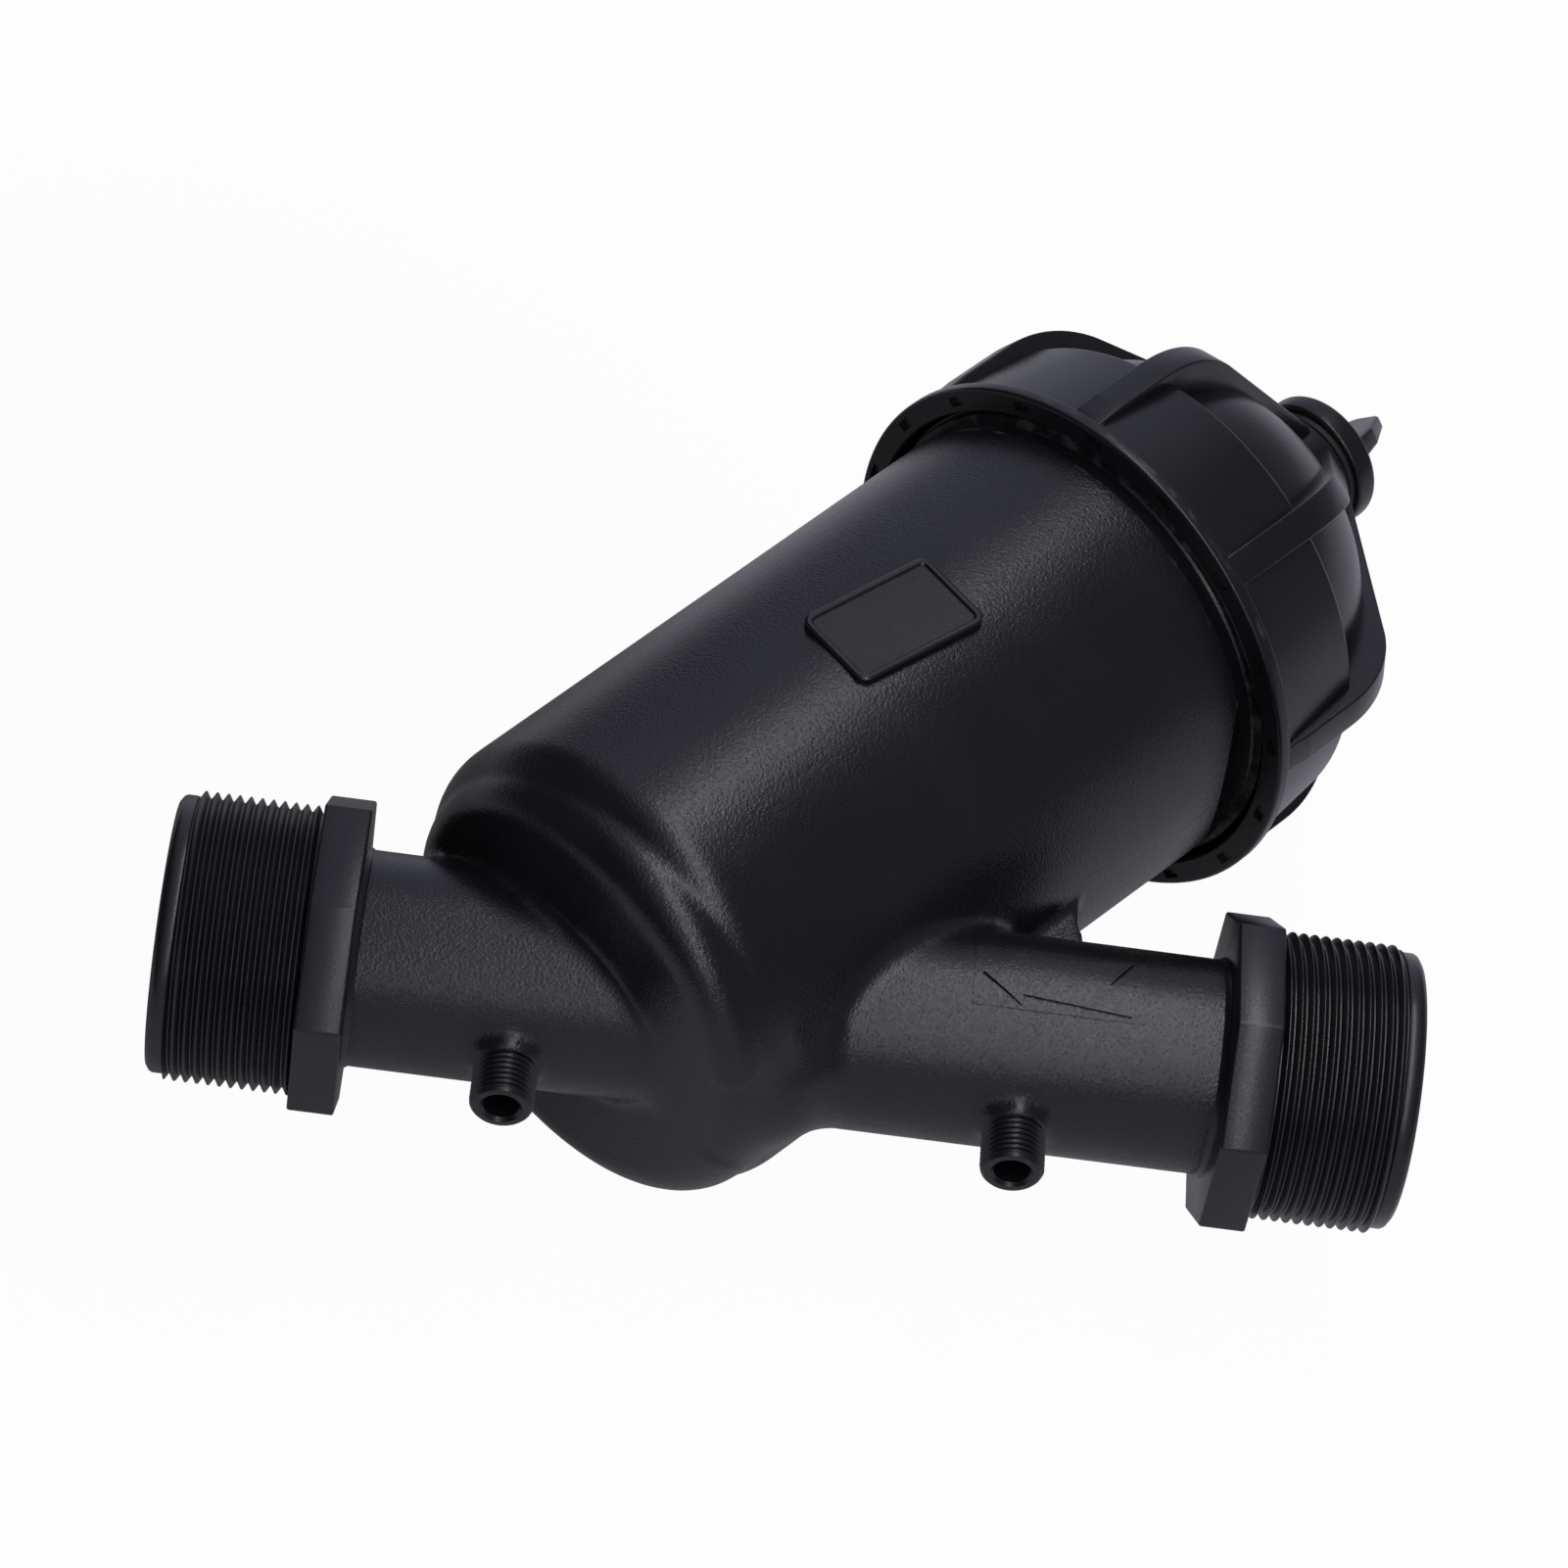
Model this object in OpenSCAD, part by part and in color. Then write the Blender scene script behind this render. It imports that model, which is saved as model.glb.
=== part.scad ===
/* [Pipe run] */
// Overall length between the two pipe mouths
pipe_len = 256; // [240:1:300]
// Outside diameter of the inlet and outlet pipes
pipe_d = 44.6; // [43:0.2:48]
// Water way through both pipes
pipe_bore_d = 37; // [32:0.5:38]

/* [Threaded ends] */
// Outside diameter of the 2 inch pipe thread
thread_d = 59.6; // [58:0.1:61]
// Length of the full thread
thread_len = 25.9; // [22:0.1:30]
// Diameter of the plain lead ring at each mouth
lead_d = 57.2; // [54:0.2:57.6]
// Length of the plain lead ring
lead_len = 3.8; // [2:0.2:6]
// Chamfer on the mouth of the lead ring
lead_chamfer = 1.2; // [0.4:0.2:1.8]
// Distance across the flats of the octagon flange
flange_af = 62.7; // [61.5:0.1:70]
// Thickness of the octagon flange
flange_t = 9.6; // [7:0.2:12]
// Cone that runs the pipe out into the flange
flange_cone = 1; // [0.5:0.25:3]

/* [Gauge nipples] */
// Outside diameter of the quarter inch thread
nipple_d = 13.16; // [12:0.02:15]
// Bore of the nipples
nipple_bore_d = 7.4; // [5:0.2:8]
// Distance of the nipple mouth from the pipe axis
nipple_reach = 34.1; // [32:0.1:40]
// Chamfer at the nipple mouth
nipple_chamfer = 1.4; // [0.4:0.2:2]
// Width and height of the cone at the nipple foot
nipple_foot = 1.6; // [0.8:0.2:3]
// Outlet nipple, measured from the middle of the pipe run
nipple_outlet_x = -55.3; // [-62:0.1:-52]
// Inlet nipple, measured from the middle of the pipe run
nipple_inlet_x = 48.4; // [40:0.1:60]

/* [Filter chamber] */
// Angle between the chamber and the inlet pipe
branch_angle = 50; // [46:1:54]
// Where the chamber axis crosses the pipe axis, from the middle of the run
branch_x = -42.3; // [-46:0.1:-40]
// Outside diameter just above the flat end
chamber_d_low = 103.2; // [100:0.2:104]
// Outside diameter at the open end
chamber_d_high = 106.6; // [104:0.2:107]
// Distance of the chamber's upper edge from the pipe axis, along the chamber
chamber_top = 147; // [142:0.5:149]
// Wall of the chamber and of its flat end
chamber_wall = 4; // [3:0.25:5]
// Where the side wall turns into the flat end
knuckle_t = 13; // [11:0.5:15]
// Radius of that turn
knuckle_r = 18; // [14:0.5:20]
// Radius of the shallow groove under the chamber
groove_r = 5.5; // [4:0.5:8]
// Depth of the groove on the inlet side, where it is deepest
groove_depth = 1.6; // [0.8:0.1:2.2]
// Thickness of the web in the fork
web_t = 4; // [3:0.5:6]
// Where the web ends on the inlet pipe, from the middle of the run
web_pipe_x = 62; // [58:0.5:68]
// Where the web ends on the chamber, along the chamber
web_chamber_t = 96; // [90:1:104]

/* [Threaded neck] */
// Outside diameter of the neck's coarse thread
neck_d = 110.4; // [109:0.1:111]
// Inside diameter of the neck
neck_bore_d = 97.6; // [94:0.2:99]
// Distance of the neck's mouth from the pipe axis, along the chamber
neck_top = 166; // [160:1:168]
// Diameter of the relief under the collar
relief_d = 104.4; // [102:0.2:106]
// Length of the relief
relief_len = 4; // [3:0.5:5]
// Diameter of the collar below the thread
collar_d = 109; // [107:0.2:109.4]
// Length of the collar
collar_len = 2; // [1.5:0.5:3]

/* [Partition and seat] */
// Underside of the partition, along the chamber
partition_t = 8.5; // [7.5:0.1:9]
// Thickness of the partition
partition_wall = 4; // [3:0.25:5]
// Diameter of the hole that takes the cartridge
seat_d = 42; // [38:0.5:44]
// Wall of the raised ring round that hole
seat_wall = 4; // [3:0.25:5]
// Height of the raised ring above the partition
seat_height = 5.5; // [4:0.5:7]

/* [Screw cap] */
// Outside diameter of the rim
rim_d = 123.2; // [121:0.2:126]
// Distance of the rim's underside from the pipe axis, along the chamber
rim_t = 149.4; // [147:0.2:151]
// Height of the rim
rim_h = 3.4; // [2.6:0.2:4.4]
// Rounding of the rim
rim_round = 1.2; // [0.6:0.1:1.3]
// Wall of the skirt just above the rim
skirt_wall = 4; // [3:0.1:4.4]
// Height of the lip above the rim's underside
lip_h = 28.6; // [27:0.2:31]
// Width of the lip, which is the skirt's wall at its upper end
lip_w = 1.7; // [1.4:0.1:2]
// Depth of the trough between the lip and the dome
trough_depth = 4; // [3:0.2:5]
// Radius of the dome
dome_r = 54.8; // [54:0.1:55.2]
// Height of the dome's centre above the rim's underside
dome_h = 19; // [18:0.5:21]
// Wall of the dome
dome_wall = 3.6; // [3:0.2:4]
// Number of grip ribs
rib_count = 8; // [6:1:12]
// Width of a rib
rib_w = 7; // [5:0.5:10]
// Height of a rib above the lip
rib_stand = 3.3; // [2.8:0.1:3.8]
// Distance below the lip at which a rib starts to turn onto the dome
rib_turn_drop = 3.4; // [2:0.2:6]
// Radius of that turn
rib_turn_r = 30.5; // [28:0.5:34]
// Slope of a rib on the dome, from the axis direction
rib_slope = 47; // [44:1:48]
// Turn of the closed cap about its axis
cap_turn = 36; // [0:1:45]
// Number of notches in the underside of the rim
notch_count = 18; // [12:1:24]
// Length of a notch along the rim
notch_len = 3.2; // [2:0.2:4]
// Width of a notch across the rim
notch_w = 2.4; // [1.6:0.2:3]
// Depth of a notch
notch_depth = 1.6; // [0.8:0.2:2]

/* [Drain plug] */
// Outside diameter of the hub on the cap
hub_d = 30; // [29:0.5:32]
// Height of the hub above the rim's underside
hub_h = 81.2; // [79:0.2:84]
// Diameter of the plug's threaded shank
shank_d = 23.4; // [22:0.2:24]
// Length of the shank below the plug's head
shank_len = 11; // [9:0.5:13]
// Diameter of the plug's head
head_d = 31.4; // [31:0.2:36]
// Thickness of the plug's head
head_t = 6; // [5:0.2:8]
// Rounding of the head's outer edge
head_round = 1.2; // [0.6:0.2:2]
// Height of the wing above the head
wing_h = 17; // [14:0.5:22]
// Length of the wing where it leaves the head
wing_base = 27; // [24:0.5:30]
// Length of the wing at its tip
wing_tip = 6; // [4:0.5:14]
// Thickness of the wing where it leaves the head
wing_base_t = 5; // [4:0.2:7]
// Thickness of the wing at its tip
wing_tip_t = 3; // [2:0.2:4]
// Turn of the closed plug about its axis
plug_turn = 225; // [0:1:360]

/* [Seals] */
// Thickness of the cap's O-ring
cap_seal_d = 4; // [3:0.1:4.4]
// Middle diameter of the cap's O-ring
cap_seal_mid_d = 103.2; // [102.6:0.1:103.4]
// Thickness of the flat seal under the plug's head
plug_seal_t = 1.4; // [1:0.1:2]
// Outside diameter of that seal
plug_seal_d = 28.4; // [27:0.2:29]
// Thickness of the cartridge's O-ring
seat_seal_d = 2.6; // [2:0.1:3]

/* [Disc cartridge] */
// Number of filter discs
disc_count = 120; // [96:12:120]
// Spacing of the discs in the stack
disc_pitch = 1; // [0.9:0.02:1.02]
// Gap left between two discs by their grooves
disc_gap = 0.06; // [0.04:0.01:0.1]
// Outside diameter of a disc
disc_d = 78; // [74:0.5:82]
// Inside diameter of a disc
disc_bore_d = 52; // [50:0.5:56]
// Thickness of the cartridge's lower flange
spine_flange_t = 4; // [3:0.25:5]
// Wall of the collar that plugs into the seat
spine_collar_wall = 5; // [4.5:0.25:6]
// Number of fins on the spine
fin_count = 4; // [3:1:6]
// Thickness of a fin
fin_t = 3; // [2:0.25:4]
// Diameter of the stem in the middle of the spine
stem_d = 12; // [10:0.5:15]
// Diameter of the stud on top of the spine
stud_d = 16; // [14:0.5:18]
// Thickness of the pressure plate
plate_t = 5; // [4:0.25:6]
// Height of the clamp nut
nut_h = 10; // [8:0.5:11]
// Distance across the flats of the clamp nut
nut_af = 27; // [24:0.5:30]

/* [Clearances] */
// Gap between faces that move past each other
run_gap = 0.3; // [0.2:0.05:0.4]
// Gap between the neck's thread and the cap
thread_gap = 0.8; // [0.6:0.05:0.9]
// Gap round pieces that are put together by hand
fit_gap = 0.2; // [0.1:0.05:0.3]

/* [Hidden] */
$fn = 96;
arc_step = 4;
overlap = 1;
reach = 400;
flange_x = pipe_len / 2 - lead_len - thread_len;
octagon_turn = 22.5;
chamber_r_low = chamber_d_low / 2;
knuckle_mid_r = chamber_r_low - knuckle_r;
end_t = knuckle_t - knuckle_r;
groove_t = knuckle_t - groove_r;
groove_wall_r = knuckle_mid_r + sqrt(pow(knuckle_r, 2) - pow(knuckle_t - groove_t, 2));
partition_top = partition_t + partition_wall;
seat_top = partition_top + seat_height;
bore_d_low = chamber_d_low - 2 * chamber_wall;
cap_bore_d = neck_d + 2 * thread_gap;
skirt_d_low = cap_bore_d + 2 * skirt_wall;
skirt_d_high = cap_bore_d + 2 * lip_w;
rib_d = skirt_d_high + 2 * rib_stand;
rim_top = rim_t + rim_h;
lip_t = rim_t + lip_h;
trough_t = lip_t - trough_depth;
dome_t = rim_t + dome_h;
hub_top = rim_t + hub_h;
seal_bottom = neck_top + run_gap;
seal_ceiling = seal_bottom + cap_seal_d + run_gap;
seal_pocket_d = cap_seal_mid_d + cap_seal_d + 2 * run_gap;
plug_bore_d = shank_d + 2 * run_gap;
head_bottom = hub_top + plug_seal_t;
head_top = head_bottom + head_t;
collar_r = seat_d / 2 - fit_gap;
stack_bottom = seat_top + spine_flange_t;
stack_top = stack_bottom + disc_count * disc_pitch;
plate_top = stack_top + plate_t;
fin_r = disc_bore_d / 2 - fit_gap;

PACKS = ["disc_pack_01", "disc_pack_02", "disc_pack_03", "disc_pack_04", "disc_pack_05", "disc_pack_06",
         "disc_pack_07", "disc_pack_08", "disc_pack_09", "disc_pack_10", "disc_pack_11", "disc_pack_12"];
discs_per_pack = disc_count / len(PACKS);

// Points along an arc, with angles measured from the first axis
function arc(middle, r, from, to) =
    let (steps = max(2, ceil(abs(to - from) / arc_step)))
    [for (i = [0:steps]) let (a = from + (to - from) * i / steps) middle + r * [cos(a), sin(a)]];

// The origin is where the inlet thread meets its flange, on the pipe axis
module in_row() {
    translate([-flange_x, 0, 0]) children();
}

// Lays a shape that stands on Z along the pipe, from x towards the inlet
module along_pipe(x) {
    translate([x, 0, 0]) rotate([0, 90, 0]) children();
}

// Lays a shape that stands on Z along the chamber, from the pipe axis outwards
module along_chamber() {
    translate([branch_x, 0, 0]) rotate([0, 90, branch_angle]) children();
}

// A ring about Z
module ring(d, bore, from, h) {
    translate([0, 0, from]) difference() {
        cylinder(d = d, h = h);
        translate([0, 0, -overlap]) cylinder(d = bore, h = h + 2 * overlap);
    }
}

// Octagon flange, thread and lead ring of one pipe end
// Half outline of a pipe end from inside its flange: thread, lead ring, chamfered mouth.
function end_outline() =
    let (shoulder = flange_t / 2 + thread_len, mouth = shoulder + lead_len)
    [[0, 0], [thread_d / 2, 0], [thread_d / 2, shoulder], [lead_d / 2, shoulder],
     [lead_d / 2, mouth - lead_chamfer], [lead_d / 2 - lead_chamfer, mouth], [0, mouth]];
module threaded_end() {
    along_pipe(flange_x - flange_t - 2 * flange_cone)
        cylinder(d1 = pipe_d - 2 * flange_cone, d2 = pipe_d + 2 * flange_cone + 2 * overlap,
                 h = 2 * flange_cone + overlap);
    along_pipe(flange_x - flange_t) rotate(octagon_turn)
        cylinder(d = flange_af / cos(octagon_turn), h = flange_t, $fn = 8);
    along_pipe(flange_x - flange_t / 2) rotate_extrude() polygon(end_outline());
}

// Threaded nipple on the side away from the chamber
module nipple(x) {
    translate([x, 0, 0]) rotate([90, 0, 0]) {
        cylinder(d = nipple_d, h = nipple_reach - nipple_chamfer);
        translate([0, 0, nipple_reach - nipple_chamfer])
            cylinder(d1 = nipple_d, d2 = nipple_d - 2 * nipple_chamfer, h = nipple_chamfer);
        cylinder(d = nipple_d + 2 * nipple_foot, h = pipe_d / 2 - nipple_foot / 2);
        translate([0, 0, pipe_d / 2 - nipple_foot / 2])
            cylinder(d1 = nipple_d + 2 * nipple_foot, d2 = nipple_d, h = nipple_foot);
    }
}

module nipple_bore(x) {
    translate([x, 0, 0]) rotate([90, 0, 0]) cylinder(d = nipple_bore_d, h = nipple_reach + overlap);
}

// Half section of the flat end, drawn in by a wall
module rounded_end_section(inset) {
    polygon(concat(
        [[0, knuckle_t], [0, end_t + inset]],
        arc([knuckle_mid_r, knuckle_t], knuckle_r - inset, -90, 0)));
}

// The groove runs out towards the outlet side because its ring is off centre
module fork_groove() {
    shift = groove_depth;
    translate([0, shift, groove_t])
        rotate_extrude() translate([groove_wall_r + groove_r, 0]) circle(r = groove_r, $fn = 48);
}

module chamber_outside() {
    difference() {
        union() {
            rotate_extrude() rounded_end_section(0);
            translate([0, 0, knuckle_t])
                cylinder(d1 = chamber_d_low, d2 = chamber_d_high, h = chamber_top - knuckle_t);
        }
        fork_groove();
    }
    translate([0, 0, chamber_top - overlap]) cylinder(d = relief_d, h = relief_len + 2 * overlap);
    translate([0, 0, chamber_top + relief_len]) cylinder(d = collar_d, h = collar_len + overlap);
    translate([0, 0, chamber_top + relief_len + collar_len])
        cylinder(d = neck_d, h = neck_top - chamber_top - relief_len - collar_len);
}

// Web in the fork between the inlet pipe and the chamber
module fork_web() {
    chamber_r = chamber_r_low + overlap;
    foot = [web_pipe_x, pipe_d / 2 - overlap];
    head = [branch_x + web_chamber_t * cos(branch_angle) + chamber_r * sin(branch_angle),
            web_chamber_t * sin(branch_angle) - chamber_r * cos(branch_angle)];
    translate([0, 0, -web_t / 2]) linear_extrude(web_t) polygon([[0, 0], foot, head]);
}

// Water space above the partition, with the seat ring left standing in it
module upper_space() {
    space_h = neck_top - partition_top;
    draft = (neck_bore_d - bore_d_low) / space_h;
    difference() {
        translate([0, 0, partition_top])
            cylinder(d1 = bore_d_low, d2 = neck_bore_d + draft * overlap, h = space_h + overlap);
        ring(seat_d + 2 * seat_wall, seat_d, partition_top - overlap, seat_height + overlap);
    }
    translate([0, 0, partition_t - overlap]) cylinder(d = seat_d, h = partition_wall + 2 * overlap);
}

// Water space under the partition
module lower_space() {
    intersection() {
        rotate_extrude() rounded_end_section(chamber_wall);
        translate([0, 0, partition_t - reach]) cylinder(d = chamber_d_low, h = reach);
    }
}

// Outlet bore, kept under the partition
module outlet_bore() {
    intersection() {
        along_pipe(-pipe_len / 2 - overlap)
            cylinder(d = pipe_bore_d, h = pipe_len / 2 + branch_x + pipe_d / 2);
        along_chamber() translate([0, 0, partition_t - reach]) cylinder(d = 2 * reach, h = reach);
    }
}

// Inlet bore, which opens into the chamber's side above the partition
module inlet_bore() {
    side = (bore_d_low / 2 - pipe_bore_d / 2 * cos(branch_angle)) / sin(branch_angle);
    along_pipe(branch_x + side) cylinder(d = pipe_bore_d, h = pipe_len);
}

module housing() {
    color([0.06, 0.06, 0.065]) in_row() difference() {
        union() {
            along_pipe(branch_x + pipe_d) cylinder(d = pipe_d, h = flange_x - branch_x - pipe_d);
            along_pipe(-flange_x) cylinder(d = pipe_d, h = flange_x + branch_x + pipe_d / 2);
            threaded_end();
            mirror([1, 0, 0]) threaded_end();
            nipple(nipple_outlet_x);
            nipple(nipple_inlet_x);
            fork_web();
            along_chamber() chamber_outside();
        }
        along_chamber() upper_space();
        along_chamber() lower_space();
        inlet_bore();
        outlet_bore();
        nipple_bore(nipple_outlet_x);
        nipple_bore(nipple_inlet_x);
    }
}

// Half section of the cap: rim, skirt, lip, trough, dome and hub
module cap_section() {
    skirt_r = skirt_d_high / 2;
    trough_angle = asin((trough_t - dome_t) / dome_r);
    hub_angle = acos(hub_d / 2 / dome_r);
    inner_r = dome_r - dome_wall;
    bore_angle = acos(plug_bore_d / 2 / inner_r);
    ceiling_angle = asin((seal_ceiling - dome_t) / inner_r);
    polygon(concat(
        [[cap_bore_d / 2, rim_t]],
        arc([rim_d / 2 - rim_round, rim_t + rim_round], rim_round, -90, 0),
        arc([rim_d / 2 - rim_round, rim_top - rim_round], rim_round, 0, 90),
        [[skirt_d_low / 2, rim_top]],
        arc([skirt_r - lip_w / 2, lip_t - lip_w / 2], lip_w / 2, 0, 180),
        [[skirt_r - lip_w, trough_t]],
        arc([0, dome_t], dome_r, trough_angle, hub_angle),
        [[hub_d / 2, hub_top], [plug_bore_d / 2, hub_top]],
        arc([0, dome_t], inner_r, bore_angle, ceiling_angle),
        [[seal_pocket_d / 2, seal_ceiling], [seal_pocket_d / 2, neck_top + thread_gap],
         [cap_bore_d / 2, neck_top + thread_gap]]));
}

// Half section of a rib: up the skirt, over the trough and down the dome to the hub
module rib_section() {
    turn_middle = [rib_d / 2 - rib_turn_r, lip_t - rib_turn_drop];
    root_r = dome_r - dome_wall / 2;
    turn_end = turn_middle + rib_turn_r * [cos(rib_slope), sin(rib_slope)];
    hub_end = min(hub_top - overlap, turn_end[1] + (turn_end[0] - hub_d / 2) / tan(rib_slope));
    root_top = acos((hub_d / 2 - overlap) / root_r);
    root_low = asin((trough_t - overlap - dome_t) / root_r);
    polygon(concat(
        [[cap_bore_d / 2 + overlap, rim_top - overlap], [rib_d / 2, rim_top - overlap]],
        arc(turn_middle, rib_turn_r, 0, rib_slope),
        [[hub_d / 2, hub_end], [hub_d / 2 - overlap, hub_end]],
        arc([0, dome_t], root_r, root_top, root_low),
        [[cap_bore_d / 2 + overlap, trough_t - overlap]]));
}

module cap_ribs() {
    intersection() {
        rotate_extrude() rib_section();
        for (i = [0:rib_count - 1])
            rotate(i * 360 / rib_count) translate([0, -rib_w / 2, rim_t]) cube([rim_d, rib_w, hub_h]);
    }
}

module rim_notches() {
    middle_r = (cap_bore_d / 2 + rim_d / 2) / 2;
    for (i = [0:notch_count - 1])
        rotate(i * 360 / notch_count)
            translate([middle_r - notch_w / 2, -notch_len / 2, rim_t - overlap])
                cube([notch_w, notch_len, notch_depth + overlap]);
}

module screw_cap() {
    color([0.05, 0.05, 0.055]) in_row() along_chamber() rotate(cap_turn) difference() {
        union() {
            rotate_extrude() cap_section();
            cap_ribs();
        }
        rim_notches();
    }
}

module cap_o_ring() {
    color([0.03, 0.03, 0.03]) in_row() along_chamber()
        translate([0, 0, seal_bottom + cap_seal_d / 2])
            rotate_extrude() translate([cap_seal_mid_d / 2, 0]) circle(d = cap_seal_d, $fn = 32);
}

// Wing of the plug: tapered both along and across
module plug_wing() {
    intersection() {
        rotate([90, 0, 0]) translate([0, 0, -head_d / 2]) linear_extrude(head_d)
            polygon([[-wing_base / 2, 0], [wing_base / 2, 0], [wing_tip / 2, wing_h],
                     [-wing_tip / 2, wing_h]]);
        rotate([90, 0, 90]) translate([0, 0, -head_d / 2]) linear_extrude(head_d)
            polygon([[-wing_base_t / 2, 0], [wing_base_t / 2, 0], [wing_tip_t / 2, wing_h],
                     [-wing_tip_t / 2, wing_h]]);
    }
}

module drain_plug() {
    color([0.05, 0.05, 0.055]) in_row() along_chamber() rotate(plug_turn) {
        rotate_extrude() polygon(concat(
            [[0, head_bottom - shank_len], [shank_d / 2, head_bottom - shank_len],
             [shank_d / 2, head_bottom], [head_d / 2, head_bottom]],
            arc([head_d / 2 - head_round, head_top - head_round], head_round, 0, 90),
            [[0, head_top]]));
        translate([0, 0, head_top]) plug_wing();
    }
}

module drain_seal() {
    color([0.03, 0.03, 0.03]) in_row() along_chamber()
        ring(plug_seal_d, plug_bore_d, hub_top, plug_seal_t);
}

// Collar, flange, fins and stud of the cartridge, moulded in one
module cartridge_spine() {
    seal_mid = (partition_t + seat_top) / 2;
    groove_h = seat_seal_d + 2 * fit_gap;
    collar_bore_d = 2 * (collar_r - spine_collar_wall);
    stem_h = stack_top - partition_t - overlap;
    color([0.1, 0.1, 0.105]) in_row() along_chamber() {
        difference() {
            ring(2 * collar_r, collar_bore_d, partition_t, seat_top - partition_t + overlap);
            ring(seat_d + 2 * overlap, 2 * (collar_r - seat_seal_d), seal_mid - groove_h / 2, groove_h);
        }
        ring(disc_d, collar_bore_d, seat_top, spine_flange_t);
        for (i = [0:fin_count - 1])
            rotate(i * 360 / fin_count) translate([0, -fin_t / 2, 0]) {
                translate([0, 0, partition_t]) cube([collar_bore_d / 2 + overlap, fin_t, stem_h]);
                translate([0, 0, stack_bottom - overlap]) cube([fin_r, fin_t, disc_count * disc_pitch]);
            }
        translate([0, 0, partition_t]) cylinder(d = stem_d, h = stem_h);
        translate([0, 0, stack_top - stud_d]) cylinder(d = stud_d, h = stud_d + plate_t + nut_h);
    }
}

module seat_o_ring() {
    seal_mid = (partition_t + seat_top) / 2;
    color([0.03, 0.03, 0.03]) in_row() along_chamber() translate([0, 0, seal_mid])
        rotate_extrude() translate([collar_r - seat_seal_d / 2, 0])
            circle(d = seat_seal_d - fit_gap, $fn = 32);
}

module disc_pack(index) {
    pack_bottom = stack_bottom + index * discs_per_pack * disc_pitch + disc_gap;
    color([0.62, 0.05, 0.04]) in_row() along_chamber()
        for (i = [0:discs_per_pack - 1])
            ring(disc_d, disc_bore_d, pack_bottom + i * disc_pitch, disc_pitch - disc_gap);
}

module pressure_plate() {
    color([0.1, 0.1, 0.105]) in_row() along_chamber()
        ring(disc_d, stud_d + 2 * fit_gap, stack_top + disc_gap, plate_t - disc_gap);
}

module clamp_nut() {
    color([0.1, 0.1, 0.105]) in_row() along_chamber() translate([0, 0, plate_top]) difference() {
        cylinder(d = nut_af / cos(30), h = nut_h, $fn = 6);
        translate([0, 0, -overlap]) cylinder(d = stud_d + 2 * fit_gap, h = nut_h + 2 * overlap);
    }
}

housing();
screw_cap();
cap_o_ring();
drain_plug();
drain_seal();
cartridge_spine();
seat_o_ring();
pressure_plate();
clamp_nut();
for (i = [0:len(PACKS) - 1])
    disc_pack(i);
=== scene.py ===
# %% [markdown]
# # An irrigation disc filter, dressed round its CAD frame
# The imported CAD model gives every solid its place. This lesson puts a moulded skin on the solids that
# show: blended corners, real screw threads, a ribbed cap and black plastic with its grain. What is hidden
# inside, such as the discs and seals, stays as the CAD solid and only gets a finish.

# %% Load the frame
import math

import bpy
import numpy as np
from mathutils import Matrix, Vector


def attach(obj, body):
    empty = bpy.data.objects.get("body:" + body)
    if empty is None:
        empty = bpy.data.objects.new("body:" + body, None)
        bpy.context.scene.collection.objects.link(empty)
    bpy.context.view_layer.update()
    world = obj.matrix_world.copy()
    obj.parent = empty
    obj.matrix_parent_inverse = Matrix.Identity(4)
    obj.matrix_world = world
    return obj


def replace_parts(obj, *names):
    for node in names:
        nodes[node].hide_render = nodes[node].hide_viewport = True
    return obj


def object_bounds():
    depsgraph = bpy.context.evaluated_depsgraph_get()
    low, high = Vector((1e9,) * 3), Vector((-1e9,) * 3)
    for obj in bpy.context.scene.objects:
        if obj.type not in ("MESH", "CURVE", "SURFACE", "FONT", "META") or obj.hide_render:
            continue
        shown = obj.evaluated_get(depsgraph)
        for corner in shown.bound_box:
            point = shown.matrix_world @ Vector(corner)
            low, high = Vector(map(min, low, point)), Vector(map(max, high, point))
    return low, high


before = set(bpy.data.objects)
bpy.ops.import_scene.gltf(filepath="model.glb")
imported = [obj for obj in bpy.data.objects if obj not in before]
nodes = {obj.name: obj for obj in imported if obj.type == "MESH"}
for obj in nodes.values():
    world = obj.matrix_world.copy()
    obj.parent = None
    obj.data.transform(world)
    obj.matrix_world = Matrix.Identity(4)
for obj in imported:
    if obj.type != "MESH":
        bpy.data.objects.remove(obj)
cad_low, cad_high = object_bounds()
MM = 0.001
print("CAD box in mm:", [round((b - a) / MM, 1) for a, b in zip(cad_low, cad_high)])

# %% [markdown]
# ## Two working axes
# All round pieces are drawn standing on Z, because a lathe is easiest there, and are then laid along the
# pipe or along the slanted chamber. The numbers repeat those of the CAD source: the row's origin sits at
# the inlet flange, and lengths along the pipe are counted from the middle of the run.

# %% Axes of the pipe and of the chamber
FLANGE_X = 98.3
BRANCH_X = -42.3
BRANCH_ANGLE = math.radians(50)
QUARTER = math.pi / 2
PIPE = Matrix.Translation((-FLANGE_X * MM, 0, 0)) @ Matrix.Rotation(QUARTER, 4, "Y")
CHAMBER = (
    Matrix.Translation(((BRANCH_X - FLANGE_X) * MM, 0, 0))
    @ Matrix.Rotation(BRANCH_ANGLE, 4, "Z")
    @ Matrix.Rotation(QUARTER, 4, "Y")
)
AXIS = CHAMBER.col[2].to_3d()


def on_axis(t):
    """The point on the chamber's axis at a height in millimetres."""
    return CHAMBER @ Vector((0, 0, t * MM))


print("chamber axis:", [round(x, 4) for x in AXIS])

# %% [markdown]
# ## The tools of the bench
# A handful of helpers wrap the operators that come back for every piece. An operator works on whatever is
# selected, so each helper first clears the selection and picks its own piece.

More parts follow.
